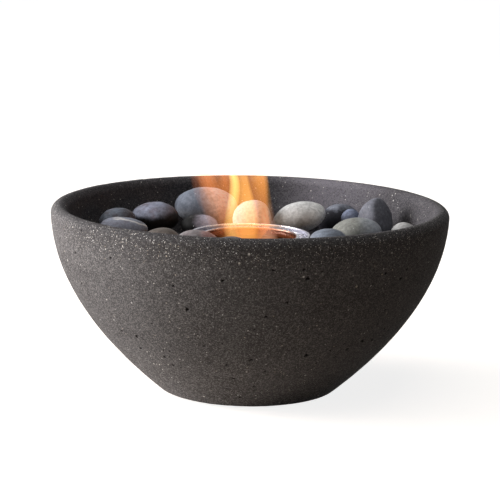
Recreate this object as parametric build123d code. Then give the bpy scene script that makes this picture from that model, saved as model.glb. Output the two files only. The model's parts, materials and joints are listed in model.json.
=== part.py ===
from build123d import *
import math
import os

import numpy as np

# A tabletop fire bowl: a cast bowl, a fuel can standing on its floor, and a bed of river
# pebbles round the can. Millimetres, +Z up, origin on the table under the middle of the bowl.

# Bowl
BOWL_HEIGHT = 134.0
RIM_RADIUS = 143.0
BASE_RADIUS = 63.4
WALL = 12.0
FLOOR_THICKNESS = 14.2
BASE_ROUND = 7.0
OUTER_FLARE_SHARE = 0.97
INNER_FLOOR_SHARE = 0.25
INNER_FLARE_SHARE = 0.95
INNER_RISE_SHARE = 0.48

# Pads under the base
PAD_COUNT = 4
PAD_RADIUS = 8.0
PAD_THICKNESS = 3.0
PAD_PROUD = 1.0
PAD_CIRCLE_RADIUS = 42.0
PAD_CLEARANCE = 0.3
PAD_ROUND = 0.6

# Fuel can: a one-pint tin with the friction ring of a lever lid
CAN_RADIUS = 43.65
CAN_HEIGHT = 98.4
TIN = 0.5
SEAM_HEIGHT = 3.2
SEAM_WIDTH = 1.8
SEAM_CLEARANCE = 0.15
SEAM_ROUND = 0.55
BASE_RECESS = 3.6
RING_WIDTH = 10.15
MOUTH_BEAD_WIDTH = 2.6
MOUTH_BEAD_DROP = 1.0
CHANNEL_DEPTH = 4.0
PLUG_WALL_DEPTH = 7.0
CHANNEL_ROUND = 1.0
BEAD_ROUND = 0.9
GEL_DROP = 10.0
GEL_CLEARANCE = 0.2
FLOOR_MARGIN = 6.35

# Pebbles
PEBBLE_LENGTH = 42.0
PEBBLE_WIDTH = 32.0
PEBBLE_THICKNESS = 23.0
PEBBLE_GAP = 0.4
CAN_GAP = 1.0
BED_GRID = 0.7
LOWER_BED_TOP = 104.0
UPPER_BED_TOP = 121.0
BEARER_ROOM = 13.0
BEARER_LEAST = 3.0
BEARER_WIDTH_SHARE = 0.8
BEARER_DEPTH_SHARE = 0.68
ROLL_REACH = 24.0

# Heights and radii that follow from those
BASE_Z = PAD_PROUD
FLOOR_Z = BASE_Z + FLOOR_THICKNESS
LIP_Z = BASE_Z + BOWL_HEIGHT - WALL / 2
RIM_INSIDE = RIM_RADIUS - WALL
FLOOR_RADIUS = CAN_RADIUS + FLOOR_MARGIN
CAN_TOP = FLOOR_Z + CAN_HEIGHT
CAN_BODY_RADIUS = CAN_RADIUS - TIN - SEAM_CLEARANCE
MOUTH_RADIUS = CAN_RADIUS - RING_WIDTH

# The pebbles that show: name, bearing in degrees from +X, reach from the can to the wall,
# height of the middle, then length, width and thickness, then how far forward the widest
# girth lies along the length, as shares, and last the roll, pitch and yaw in degrees.
SHOWN_PEBBLE_SHARES = [
    ("pebble_left_back_rim", 156, 0.73, 0.85, 0.86, 0.81, 0.83, 0.50, 0, 0, 70),
    ("pebble_left_rim", 175, 0.60, 0.85, 0.86, 0.94, 0.74, 0.62, 0, 0, 0),
    ("pebble_left_back", 136, 0.62, 0.84, 0.88, 0.94, 1.04, 0.47, 0, 0, 0),
    ("pebble_back_large", 110.5, 0.66, 0.87, 1.10, 1.19, 1.26, 0.50, 0, 0, 0),
    ("pebble_back_low", 123, 0.29, 0.81, 0.69, 0.78, 0.78, 0.50, 0, 0, 0),
    ("pebble_left_near_can", 198, 0.25, 0.83, 0.67, 0.88, 0.78, 0.50, 0, 0, 0),
    ("pebble_front_left", 230, 0.20, 0.85, 0.79, 0.81, 0.87, 0.58, 0, 0, 0),
    ("pebble_front", 259.5, 0.29, 0.85, 0.76, 0.94, 0.87, 0.50, 0, 0, 90),
    ("pebble_back_middle", 86.5, 0.20, 0.835, 0.70, 0.91, 1.34, 0.42, 0, 0, 0),
    ("pebble_back_right", 60.5, 0.36, 0.855, 0.98, 1.00, 1.02, 0.50, 0, -14, 0),
    ("pebble_right_back", 51, 0.80, 0.81, 0.62, 0.75, 1.13, 0.50, 0, 0, 0),
    ("pebble_right_small", 41.5, 0.655, 0.85, 0.38, 0.47, 0.70, 0.50, 0, 0, 0),
    ("pebble_right_upright", 29.5, 0.75, 0.85, 0.86, 0.81, 1.13, 0.50, 0, -80, 0),
    ("pebble_right", 11.5, 0.41, 0.845, 0.90, 1.00, 0.96, 0.50, 0, 0, 0),
    ("pebble_front_right", 333.5, 0.22, 0.85, 0.67, 0.88, 0.87, 0.50, 0, 0, 0),
    ("pebble_right_rim", 9, 0.815, 0.81, 0.52, 0.81, 1.17, 0.50, 0, 0, 0),
]

# The dark gaps between them, each as large as a pebble, which the other pebbles stay out of:
# bearing in degrees, then reach from the can to the wall and height of the middle as shares.
GAP_SHARES = [(150, 0.335, 0.90), (75, 0.765, 0.90), (92, 0.80, 0.90), (31, 0.20, 0.90)]

# The other pebbles come in these sizes, one after another: length, width and thickness.
LARGE_PEBBLE_SHARES = [(1.10, 1.12, 1.17), (1.00, 1.03, 1.09), (0.90, 0.94, 1.00), (0.79, 0.84, 0.87)]
SMALL_PEBBLE_SHARES = [(0.62, 0.69, 0.65), (0.52, 0.56, 0.57)]
# How they lie: the share of the length in front of the girth, then roll and pitch in degrees.
BED_POSE_SHARES = [(0.50, 0, 0), (0.44, 9, -5), (0.55, -7, 8), (0.48, 5, 11), (0.57, -11, -3)]
BED_YAWS = (0, 45, 90, 135)
BED_BEARINGS = 48
BED_REACHES = 12
BED_LAYERS = ("pebbles_lower_bed", "pebbles_middle_bed", "pebbles_upper_bed")
WALL_STEPS = 200
BEARER_FINE_SHARE = 0.01

# Round pieces stand on their own origin.
STAND = (Align.CENTER, Align.CENTER, Align.MIN)


def bowl_outer_curve():
    """The outside from the base to the lip, a parabola in section."""
    flare = BASE_RADIUS + OUTER_FLARE_SHARE * (RIM_RADIUS - BASE_RADIUS)
    return Bezier((BASE_RADIUS, BASE_Z), (flare, (BASE_Z + LIP_Z) / 2), (RIM_RADIUS, LIP_Z))


def bowl_inner_controls():
    """Control points of the inside from the flat floor to the lip."""
    spread = RIM_INSIDE - FLOOR_RADIUS
    rise = LIP_Z - FLOOR_Z
    return [
        (FLOOR_RADIUS, FLOOR_Z),
        (FLOOR_RADIUS + INNER_FLOOR_SHARE * spread, FLOOR_Z),
        (FLOOR_RADIUS + INNER_FLARE_SHARE * spread, FLOOR_Z + INNER_RISE_SHARE * rise),
        (RIM_INSIDE, LIP_Z),
    ]


def pad_places():
    """The middles of the pads, on a circle under the base."""
    return PolarLocations(PAD_CIRCLE_RADIUS, PAD_COUNT, start_angle=180 / PAD_COUNT)


def bowl_shell():
    outer = bowl_outer_curve()
    inner = Bezier(*bowl_inner_controls())
    crown = (RIM_RADIUS - WALL / 2, BASE_Z + BOWL_HEIGHT)
    lip = ThreePointArc((RIM_RADIUS, LIP_Z), crown, (RIM_INSIDE, LIP_Z))
    floor = Line((FLOOR_RADIUS, FLOOR_Z), (0, FLOOR_Z))
    axis = Line((0, FLOOR_Z), (0, BASE_Z))
    base = Line((0, BASE_Z), (BASE_RADIUS, BASE_Z))
    profile = Plane.XZ * make_face([outer, lip, inner, floor, axis, base])
    shell = revolve(profile, Axis.Z)
    base_edge = shell.edges().filter_by(GeomType.CIRCLE).sort_by(Axis.Z)[0]
    shell = fillet(base_edge, BASE_ROUND)
    socket_depth = PAD_THICKNESS - PAD_PROUD
    socket = Cylinder(PAD_RADIUS + PAD_CLEARANCE, socket_depth, align=STAND)
    return shell - [Pos(0, 0, BASE_Z) * place * socket for place in pad_places()]


def foot_pad():
    pad = Cylinder(PAD_RADIUS, PAD_THICKNESS, align=STAND)
    return fillet(pad.edges().group_by(Axis.Z)[0], PAD_ROUND)


def plate_ring(points, rounds):
    """Bent plate, turned round the can's axis: points are (radius, height) along its middle."""
    path = FilletPolyline(*points, radius=rounds)
    return revolve(Plane.XZ * trace(path, TIN), Axis.Z)


def seam_lines():
    """The radii of the outer and inner legs of a seam, at the middle of the plate."""
    outer = CAN_RADIUS - TIN / 2
    return outer, CAN_RADIUS - SEAM_WIDTH + TIN / 2


def can_top_ring():
    outer, inner = seam_lines()
    top = CAN_TOP - TIN / 2
    channel = CAN_TOP - CHANNEL_DEPTH
    bead_top = CAN_TOP - MOUTH_BEAD_DROP - TIN / 2
    mouth = MOUTH_RADIUS + TIN / 2
    bead = MOUTH_RADIUS + MOUTH_BEAD_WIDTH - TIN / 2
    points = [
        (outer, CAN_TOP - SEAM_HEIGHT),
        (outer, top),
        (inner, top),
        (inner, channel),
        (bead, channel),
        (bead, bead_top),
        (mouth, bead_top),
        (mouth, CAN_TOP - PLUG_WALL_DEPTH),
    ]
    rounds = [SEAM_ROUND, SEAM_ROUND, CHANNEL_ROUND, CHANNEL_ROUND, BEAD_ROUND, BEAD_ROUND]
    return plate_ring(points, rounds)


def can_base():
    outer, inner = seam_lines()
    low = FLOOR_Z + TIN / 2
    panel = FLOOR_Z + BASE_RECESS
    points = [(outer, FLOOR_Z + SEAM_HEIGHT), (outer, low), (inner, low), (inner, panel), (0, panel)]
    return plate_ring(points, [SEAM_ROUND, SEAM_ROUND, CHANNEL_ROUND])


def can_body():
    inset = TIN + SEAM_CLEARANCE
    height = CAN_HEIGHT - 2 * inset
    tube = Cylinder(CAN_BODY_RADIUS, height, align=STAND)
    bore = Cylinder(CAN_BODY_RADIUS - TIN, height, align=STAND)
    return Pos(0, 0, FLOOR_Z + inset) * (tube - bore)


def fuel_gel():
    low = FLOOR_Z + BASE_RECESS + TIN / 2
    height = CAN_TOP - GEL_DROP - low
    radius = CAN_BODY_RADIUS - TIN - GEL_CLEARANCE
    return Pos(0, 0, low) * Cylinder(radius, height, align=STAND)


class Pebble:
    """A flattened egg. Its long axis is its own X, and it lies flat on its own XY."""

    def __init__(self, length, width, thickness, girth_share=1 / 2, roll=0, pitch=0, yaw=0):
        self.front = length * girth_share
        self.back = length - self.front
        self.side = width / 2
        self.crown = thickness / 2
        self.turn = Rot(Z=yaw) * Rot(Y=pitch) * Rot(X=roll)

    def solid(self, place):
        front = EllipticalCenterArc((0, 0), self.front, self.side, arc_size=90)
        back = EllipticalCenterArc((0, 0), self.back, self.side, 90, arc_size=90)
        axis = Line((-self.back, 0), (self.front, 0))
        egg = revolve(make_face([front, back, axis]), Axis.X)
        flat = scale(egg, (1, 1, self.crown / self.side))
        return Pos(*place) * self.turn * flat

    def heights(self, east, north):
        """Top and underside over plan points measured from its middle, with the gap all round."""
        lying = Plane(self.turn)
        axes = np.array([tuple(lying.x_dir), tuple(lying.y_dir), tuple(lying.z_dir)])
        level = np.stack([east, north], -1) @ axes[:, :2].T
        upright = axes[:, 2]
        top = np.full(east.shape, -np.inf)
        under = np.full(east.shape, np.inf)
        for nose, sense in ((self.front, 1), (self.back, -1)):
            weight = 1 / (np.array([nose, self.side, self.crown]) + PEBBLE_GAP) ** 2
            square = upright @ (weight * upright)
            middle = level @ (weight * upright)
            inside = middle**2 - square * ((level**2) @ weight - 1)
            for root in (1, -1):
                rise = (root * np.sqrt(np.maximum(inside, 0)) - middle) / square
                here = (inside >= 0) & (sense * (level[..., 0] + rise * upright[0]) >= 0)
                top = np.where(here, np.maximum(top, rise), top)
                under = np.where(here, np.minimum(under, rise), under)
        return top, under

    def footprint(self):
        """Its top and underside on the bed's grid, in a square window round its middle."""
        half = math.ceil((max(self.front, self.back, self.side, self.crown) + PEBBLE_GAP) / BED_GRID)
        line = BED_GRID * np.arange(-half, half + 1)
        return self.heights(*np.meshgrid(line, line, indexing="ij"))


def sized_pebble(shares, *others):
    length, width, thickness = shares
    return Pebble(PEBBLE_LENGTH * length, PEBBLE_WIDTH * width, PEBBLE_THICKNESS * thickness, *others)


def inner_wall_line():
    """Radii and heights along the inside of the bowl, from the middle of the floor to the lip."""
    t = np.linspace(0, 1, WALL_STEPS)[:, None]
    a, b, c, d = np.array(bowl_inner_controls())
    curve = (1 - t) ** 3 * a + 3 * t * (1 - t) ** 2 * b + 3 * t**2 * (1 - t) * c + t**3 * d
    return np.append(0, curve[:, 0]), np.append(FLOOR_Z, curve[:, 1])


def bed_cell(bearing, reach_share):
    """The grid cell at a bearing, and a share of the way from the can to the wall."""
    out = CAN_RADIUS + reach_share * (RIM_INSIDE - CAN_RADIUS)
    east = out * math.cos(math.radians(bearing)) / BED_GRID
    north = out * math.sin(math.radians(bearing)) / BED_GRID
    return round(east), round(north)


class Bed:
    """The surface that pebbles land on, as heights over a plan grid, and the roof above it."""

    def __init__(self):
        self.reach = math.ceil((RIM_RADIUS + 2 * PEBBLE_LENGTH + ROLL_REACH) / BED_GRID)
        line = BED_GRID * np.arange(-self.reach, self.reach + 1)
        radius = np.hypot(*np.meshgrid(line, line, indexing="ij"))
        blocked = 2 * (BASE_Z + BOWL_HEIGHT)
        self.ground = np.interp(radius, *inner_wall_line())
        self.ground[radius > RIM_INSIDE - PEBBLE_GAP] = blocked
        self.ground[radius < CAN_RADIUS + CAN_GAP] = blocked
        self.raise_roof(LOWER_BED_TOP)

    def raise_roof(self, height):
        self.roof = np.full(self.ground.shape, height)

    def window(self, cell, size):
        half = size // 2
        row, column = (self.reach + c for c in cell)
        return slice(row - half, row + half + 1), slice(column - half, column + half + 1)

    def rest(self, cell, under):
        """How high the middle of a pebble comes to rest over a cell."""
        return np.max(self.ground[self.window(cell, len(under))] - under)

    def fits(self, cell, top, height):
        """Whether a pebble that rests there stays under the roof."""
        return np.all(height + top <= self.roof[self.window(cell, len(top))])

    def hang(self, cell, under, height):
        """Lowers the roof to the underside of a pebble that will lie here later."""
        at = self.window(cell, len(under))
        self.roof[at] = np.minimum(self.roof[at], height + under)

    def settle(self, cell, top, height):
        """Raises the ground to the top of a pebble and gives the place of its middle."""
        at = self.window(cell, len(top))
        self.ground[at] = np.maximum(self.ground[at], height + top)
        return cell[0] * BED_GRID, cell[1] * BED_GRID, height


def lowest_spot(bed, footprints):
    """Where one of the pebbles lies lowest under the roof: its height, number and cell, or None."""
    spots = []
    for number, (top, under) in enumerate(footprints):
        for turn in range(BED_BEARINGS):
            for step in range(BED_REACHES + 1):
                cell = bed_cell(360 * turn / BED_BEARINGS, step / BED_REACHES)
                spots.append((bed.rest(cell, under), number, cell))
    for height, number, cell in sorted(spots):
        if bed.fits(cell, footprints[number][0], height):
            return height, number, cell
    return None


def fill_bed(bed, sizes):
    """Lays pebbles of each size in turn, lowest place first, until none finds room."""
    laid = []
    waiting = list(sizes)
    while waiting:
        shares = waiting.pop(0)
        pose = BED_POSE_SHARES[len(laid) % len(BED_POSE_SHARES)]
        pebbles = [sized_pebble(shares, *pose, yaw) for yaw in BED_YAWS]
        footprints = [pebble.footprint() for pebble in pebbles]
        spot = lowest_spot(bed, footprints)
        if spot is not None:
            height, number, cell = spot
            laid.append((pebbles[number], bed.settle(cell, footprints[number][0], height)))
            waiting.append(shares)
    return laid


def roll_to_place(bed, cell, under, height):
    """The nearest cell where a pebble lies no higher than it should, or else the lowest near."""
    steps = range(-math.ceil(ROLL_REACH / BED_GRID), math.ceil(ROLL_REACH / BED_GRID) + 1)
    moves = sorted((math.hypot(i, j), i, j) for i in steps for j in steps)
    lowest = None
    for _, i, j in moves:
        near = (cell[0] + i, cell[1] + j)
        rest = bed.rest(near, under)
        if rest <= height:
            return near
        if lowest is None or rest < lowest[0]:
            lowest = (rest, near)
    return lowest[1]


def lay_bearer(bed, shown, cell, under, height):
    """Lays the hidden pebble that lifts one that shows to its height. Its thickness is found by halving."""
    bare = bed.ground
    least, most = 0, PEBBLE_LENGTH
    while most - least > BED_GRID * BEARER_FINE_SHARE:
        thickness = (least + most) / 2
        bearer = Pebble(2 * shown.side * BEARER_WIDTH_SHARE, 2 * shown.side * BEARER_DEPTH_SHARE, thickness)
        bearer_top, bearer_under = bearer.footprint()
        bed.ground = bare.copy()
        place = bed.settle(cell, bearer_top, bed.rest(cell, bearer_under))
        if bed.rest(cell, under) < height:
            least = thickness
        else:
            most = thickness
    return bearer, place


def shown_pebbles():
    """The pebbles that show: name, cell, wished height, pebble and its footprint, lowest first."""
    rows = []
    for name, bearing, reach, height, *sizes, girth, roll, pitch, yaw in SHOWN_PEBBLE_SHARES:
        pebble = sized_pebble(sizes, girth, roll, pitch, yaw)
        rows.append((name, bed_cell(bearing, reach), BOWL_HEIGHT * height, pebble, pebble.footprint()))
    return sorted(rows, key=lambda row: row[2])


def lay_shown(bed, rows):
    """Sets the pebbles that show on the bed, each on a bearer where it would lie too low."""
    shown, bearers = {}, []
    for name, wished, height, pebble, (top, under) in rows:
        cell = roll_to_place(bed, wished, under, height)
        if bed.rest(cell, under) < height - BEARER_LEAST:
            bearers.append(lay_bearer(bed, pebble, cell, under, height))
        shown[name] = [(pebble, bed.settle(cell, top, bed.rest(cell, under)))]
    return shown, bearers


def keep_gaps_open(bed):
    """Lowers the roof over the gaps to the underside of a pebble that would fill them."""
    _, under = Pebble(PEBBLE_LENGTH, PEBBLE_WIDTH, PEBBLE_THICKNESS).footprint()
    for bearing, reach, height in GAP_SHARES:
        bed.hang(bed_cell(bearing, reach), under, BOWL_HEIGHT * height)


def bed_layers(laid):
    """Shares the bed's pebbles out to its layers by height."""
    layers = {name: [] for name in BED_LAYERS}
    for pebble, place in laid:
        rise = (place[2] - FLOOR_Z) / (LOWER_BED_TOP - FLOOR_Z)
        layers[BED_LAYERS[min(int(rise * len(BED_LAYERS)), len(BED_LAYERS) - 1)]].append((pebble, place))
    return layers


def pebble_nodes():
    """All pebbles by node name: the hidden bed, the pebbles that show, and what lies between them."""
    bed = Bed()
    rows = shown_pebbles()
    for _, cell, height, _, (_, under) in rows:
        bed.hang(cell, under, height - BEARER_ROOM)
    nodes = bed_layers(fill_bed(bed, LARGE_PEBBLE_SHARES) + fill_bed(bed, SMALL_PEBBLE_SHARES))
    shown, bearers = lay_shown(bed, rows)
    nodes["pebbles_bearing"] = bearers
    nodes.update(shown)
    bed.raise_roof(UPPER_BED_TOP)
    keep_gaps_open(bed)
    between = fill_bed(bed, LARGE_PEBBLE_SHARES) + fill_bed(bed, SMALL_PEBBLE_SHARES)
    for number, laid in enumerate(between, 1):
        nodes[f"pebble_between_{number:02d}"] = [laid]
    return nodes


def write(name, shape):
    export_step(shape, f"parts/{name}.step")


def main():
    os.makedirs("parts", exist_ok=True)
    write("bowl_shell", bowl_shell())
    for number, place in enumerate(pad_places(), 1):
        write(f"foot_pad_{number}", place * foot_pad())
    write("can_base", can_base())
    write("can_body", can_body())
    write("can_top_ring", can_top_ring())
    write("fuel_gel", fuel_gel())
    for name, laid in pebble_nodes().items():
        write(name, Compound(children=[pebble.solid(place) for pebble, place in laid]))


main()
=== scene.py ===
import json
import math
import random
from collections import namedtuple

import bmesh
import bpy
import numpy as np
from mathutils import Matrix, Vector, noise
from mathutils.kdtree import KDTree


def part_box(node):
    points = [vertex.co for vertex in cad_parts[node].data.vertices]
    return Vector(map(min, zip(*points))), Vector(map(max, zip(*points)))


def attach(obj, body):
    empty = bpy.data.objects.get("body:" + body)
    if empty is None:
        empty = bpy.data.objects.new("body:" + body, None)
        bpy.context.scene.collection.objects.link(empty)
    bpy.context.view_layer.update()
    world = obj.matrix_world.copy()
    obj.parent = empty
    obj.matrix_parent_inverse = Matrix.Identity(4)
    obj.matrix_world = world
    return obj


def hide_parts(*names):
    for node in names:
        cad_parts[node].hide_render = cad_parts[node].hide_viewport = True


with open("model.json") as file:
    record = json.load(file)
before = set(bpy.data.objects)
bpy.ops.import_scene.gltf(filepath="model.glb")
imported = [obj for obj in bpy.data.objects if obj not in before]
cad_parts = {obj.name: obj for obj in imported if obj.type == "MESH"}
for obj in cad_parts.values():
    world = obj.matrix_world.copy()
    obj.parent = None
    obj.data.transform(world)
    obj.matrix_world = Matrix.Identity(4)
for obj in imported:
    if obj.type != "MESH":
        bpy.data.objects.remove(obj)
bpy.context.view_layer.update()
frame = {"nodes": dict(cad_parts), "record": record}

# Lengths are in millimetres, apart from those of the floor, the lamps and the camera, which are in metres.
# Colours are linear.
MM = 0.001

# A value turned into a share: the limits that it runs between, and the shares there
Fade = namedtuple("Fade", "start stop low high", defaults=(0.0, 1.0))
# A cloudy pattern: repeats in a metre, finer layers, and how strong these are
Clouds = namedtuple("Clouds", "scale detail rough", defaults=(0.55,))
# Round spots in cells: a cell's size, the largest radius as a share of it, and the share of cells with one
Spots = namedtuple("Spots", "cell largest keep")
# Fine relief: its strength and its height
Relief = namedtuple("Relief", "strength height")

# Bowl profile, as the CAD shell has it
BASE_RADIUS, BASE_Z, BASE_ROUND = 63.4, 1.0, 7.0
RIM_RADIUS, LIP_Z, LIP_ROUND = 143.0, 129.0, 6.0
OUTER_FLARE = (140.612, 65.0)
FLOOR_RADIUS, FLOOR_Z = 50.0, 15.2
INNER_FLARES = ((70.25, 15.2), (126.95, 69.824))
OUTER_CURVE = [(BASE_RADIUS, BASE_Z), OUTER_FLARE, (RIM_RADIUS, LIP_Z)]
INNER_CURVE = [(FLOOR_RADIUS, FLOOR_Z), *INNER_FLARES, (RIM_RADIUS - 2 * LIP_ROUND, LIP_Z)]
PAD_CIRCLE, PAD_HOLE, PAD_HOLE_DEPTH, PAD_COUNT = 42.0, 8.3, 2.0, 4
PAD_FIRST_BEARING, UNDERSIDE_BAND = 45, 0.6
# Bowl mesh: columns, the radius where it is capped, points of its curves, the lowest height that shows
# inside, and the steps between its rows
BOWL_COLUMNS = 560
CAP_RADIUS = 1.5
CURVE_POINTS, CORNER_POINTS, LIP_POINTS = 400, 9, 22
SHOWN_INSIDE_Z = 78.0
UNDER_STEP, WALL_STEP, LIP_STEP, HIDDEN_STEP, FLOOR_STEP = 2.4, 1.6, 1.0, 5.0, 6.0
# The casting's unevenness: how far it lies inside the solid on the whole, and its waves, each with a height
# and its repeats in a metre
CAST_SINK, CAST_WAVES = 0.10, ((0.10, 60), (0.07, 260))

# A pit: bearing and turn in degrees, height, half length, half width and depth
Pit = namedtuple("Pit", "bearing height length width turn depth")
# The larger pits seen in the photograph: bearing in degrees, height share, half length and half width
SEEN_PITS = [
    (286, 0.80, 1.7, 1.2), (263, 0.79, 1.2, 0.9), (252, 0.62, 1.6, 1.2), (281, 0.68, 1.2, 0.9),
    (275, 0.60, 1.1, 0.9), (212, 0.82, 1.2, 0.8), (239, 0.27, 1.5, 1.1), (271, 0.34, 1.9, 1.1),
    (291, 0.36, 1.7, 1.6), (308, 0.37, 1.5, 1.0), (313, 0.41, 1.9, 1.3), (319, 0.40, 1.4, 1.0),
    (322, 0.46, 1.3, 0.9), (304, 0.33, 1.3, 0.9), (326, 0.44, 1.2, 0.9), (300, 0.38, 1.0, 0.8),
    (316, 0.50, 1.2, 0.9), (229, 0.42, 1.9, 1.0), (222, 0.43, 1.5, 0.9), (227, 0.34, 1.6, 0.9),
    (237, 0.31, 1.1, 0.8), (241, 0.36, 1.0, 0.8), (264, 0.21, 1.2, 0.9), (255, 0.42, 1.0, 0.7),
    (311, 0.79, 1.3, 1.0), (318, 0.74, 1.5, 1.0), (331, 0.76, 1.1, 0.8), (203, 0.72, 1.1, 0.8),
    (229, 0.85, 1.0, 0.8), (277, 0.27, 1.2, 0.9), (297, 0.30, 1.1, 0.8), (249, 0.74, 1.0, 0.7),
]
SEEN_TURNS, SEEN_DEPTH_SHARE = (-40, 70), 1.1
# The smaller ones: how many, least size and the most it grows by, lowest height share and the range above it
OTHER_PITS, PIT_SEED = 170, 11
PIT_LEAST, PIT_GROWTH, PIT_RARITY = 0.40, 0.55, 2.5
PIT_LOW_SHARE, PIT_RANGE_SHARE = 0.06, 0.90
# Some of them gather in a band: the chance of that, and the band's height share and spread
PIT_BAND_CHANCE, PIT_BAND_SHARES = 0.4, (0.38, 0.09)
OTHER_LENGTH_SHARES, OTHER_TURNS = (1.0, 1.5), (-60, 60)
# Every pit: its reach in half lengths, the finer mesh round it, the waves of its ragged edge, each with a
# size, a count and a shift in turns of the pit, how steep it is, and how strongly its painted shade darkens
# it
PIT_REACH, PIT_MARGIN, PIT_CUTS = 1.5, 1.6, 3
PIT_RAGGED = ((0.22, 3, 1), (0.12, 5, 2))
PIT_STEEP, PIT_DARK_GAIN, PIT_DARK_POWER = 3, 1.25, 0.6
# The mask of the outside, from how far a surface faces away from the axis: its middle and gain
OUTSIDE_MIDDLE, OUTSIDE_GAIN = 0.5, 1.5

# Concrete: its two tones, the inside's tone, and the inside's paler back on the right, painted light where
# light falls on the inner wall
CONCRETE_TONES = ((0.062, 0.058, 0.058), (0.082, 0.079, 0.081))
CONCRETE_CLOUDS, CONCRETE_CLOUD_FADE = Clouds(16.0, 5.0, 0.6), Fade(0.35, 0.65)
INSIDE_TONE, INSIDE_FADE = (0.058, 0.055, 0.064), Fade(0.0, 0.6, 0.6, 0.0)
INSIDE_BACK_PAINTED_LIGHT = (0.165, 0.155, 0.176)
INSIDE_BACK, INSIDE_RIGHT, INSIDE_ONLY = Fade(78.0, 118.0), Fade(12.0, 46.0), Fade(0.6, 0.0)
# Its sand: a grain's size, dark and pale grains, and how the pale ones thin out inside
SAND_GRAIN = 0.66
SAND_DARK_TONE, SAND_DARK_FADE = (0.034, 0.032, 0.032), Fade(0.0, 0.4, 0.5, 0.0)
SAND_PALE_TONE, SAND_PALE_FADE = (0.205, 0.196, 0.194), Fade(0.5, 1.0)
SAND_PALE_OUTSIDE = Fade(0.1, 0.7, 0.45, 0.85)
# Its grit, cream to white with a little tan, in patches
GRIT_TONES = [
    (0.0, (0.66, 0.63, 0.58)), (0.45, (0.80, 0.79, 0.77)),
    (0.80, (0.50, 0.42, 0.32)), (1.0, (0.90, 0.89, 0.88)),
]
SMALL_GRIT, LARGE_GRIT = Spots(2.1, 0.30, 0.55), Spots(6.0, 0.17, 0.4)
GRIT_PATCHES, GRIT_PATCH_FADE = Clouds(45.0, 4.0, 0.6), Fade(0.38, 0.66, 0.20, 0.85)
# The lip is darker, with white grit that gathers towards its top and its front
LIP_HEIGHT, LIP_OUTSIDE = Fade(104.0, 127.0), Fade(0.25, 0.75)
LIP_FRONT = Fade(-52.0, -98.0, 0.12, 1.0)
LIP_TONE, LIP_TONE_SHARE = (0.030, 0.028, 0.029), 0.45
LIP_GRIT, LIP_GRIT_SHARE = Spots(0.82, 0.46, 0.85), 0.8
# The outside is palest at the foot and darkest at its middle: painted light of the floor's bounce at the
# foot, painted shade at the middle
FOOT_PAINTED_BOUNCE, BELT_TOP = Fade(6.0, 56.0, 1.25, 0.78), Fade(100.0, 118.0, 0.0, 0.16)
BELT_OUTSIDE = Fade(0.4, 0.7)
# Pinholes, the painted shade in pits and pinholes, and the surface
PINHOLES, PINHOLE_DEPTH = Spots(4.0, 0.12, 0.35), 1.5
PIT_PAINTED_SHADE = (0.006, 0.005, 0.005)
CONCRETE_GRAIN, CONCRETE_RELIEF = Clouds(420.0, 5.0, 0.7), Relief(0.55, 0.45)
CONCRETE_ROUGH, CONCRETE_GLOSS = 0.9, 0.03
# How much of a spot's largest radius its soft edge takes, and how rare large spots are
SPOT_EDGE_SHARE, SPOT_RARITY = 0.25, 2.0
# The places of the colours among the sockets of Blender's Mix node
MIX_INPUTS, MIX_OUTPUT = (6, 7), 2

# Pebble looks by node: lit colour, shaded or mottled colour
PEBBLE_TONES = {
    "pebble_left_back_rim": ((0.148, 0.170, 0.210), (0.100, 0.112, 0.132)),
    "pebble_left_rim": ((0.208, 0.226, 0.272), (0.138, 0.136, 0.162)),
    "pebble_left_back": ((0.260, 0.280, 0.356), (0.130, 0.130, 0.160)),
    "pebble_back_large": ((0.138, 0.155, 0.188), (0.112, 0.124, 0.152)),
    # Painted shadow: near-black tones stand in for the shadow of the pebble above it
    "pebble_back_low": ((0.013, 0.012, 0.012), (0.009, 0.008, 0.008)),
    "pebble_left_near_can": ((0.136, 0.118, 0.105), (0.090, 0.076, 0.067)),
    "pebble_front_left": ((0.234, 0.216, 0.220), (0.126, 0.111, 0.113)),
    "pebble_front": ((0.102, 0.100, 0.109), (0.060, 0.059, 0.065)),
    "pebble_back_middle": ((0.470, 0.465, 0.490), (0.400, 0.395, 0.415)),
    "pebble_back_right": ((0.462, 0.466, 0.460), (0.385, 0.385, 0.380)),
    "pebble_right_back": ((0.170, 0.182, 0.214), (0.122, 0.129, 0.154)),
    "pebble_right_small": ((0.186, 0.214, 0.296), (0.118, 0.137, 0.191)),
    "pebble_right_upright": ((0.144, 0.149, 0.174), (0.108, 0.112, 0.130)),
    "pebble_right": ((0.207, 0.213, 0.195), (0.155, 0.159, 0.146)),
    "pebble_front_right": ((0.176, 0.200, 0.238), (0.114, 0.129, 0.157)),
    "pebble_right_rim": ((0.395, 0.395, 0.387), (0.295, 0.295, 0.289)),
    # Painted shade: pebbles seen in the gaps made near black, as if in deep shade
    "pebble_between_15": ((0.020, 0.020, 0.022), (0.013, 0.013, 0.014)),
    "pebble_between_19": ((0.026, 0.025, 0.026), (0.016, 0.015, 0.016)),
}
# The same for pebbles without a row of their own, by slot
SLOT_TONES = {
    "stone_grey": ((0.230, 0.230, 0.230), (0.150, 0.150, 0.150)),
    "stone_slate": ((0.115, 0.118, 0.140), (0.065, 0.066, 0.080)),
    "stone_blue": ((0.170, 0.180, 0.210), (0.110, 0.118, 0.140)),
    "stone_pale": ((0.360, 0.355, 0.340), (0.270, 0.265, 0.255)),
    "stone_olive": ((0.200, 0.196, 0.170), (0.130, 0.128, 0.110)),
    "stone_brown": ((0.180, 0.150, 0.125), (0.110, 0.092, 0.078)),
}
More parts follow.
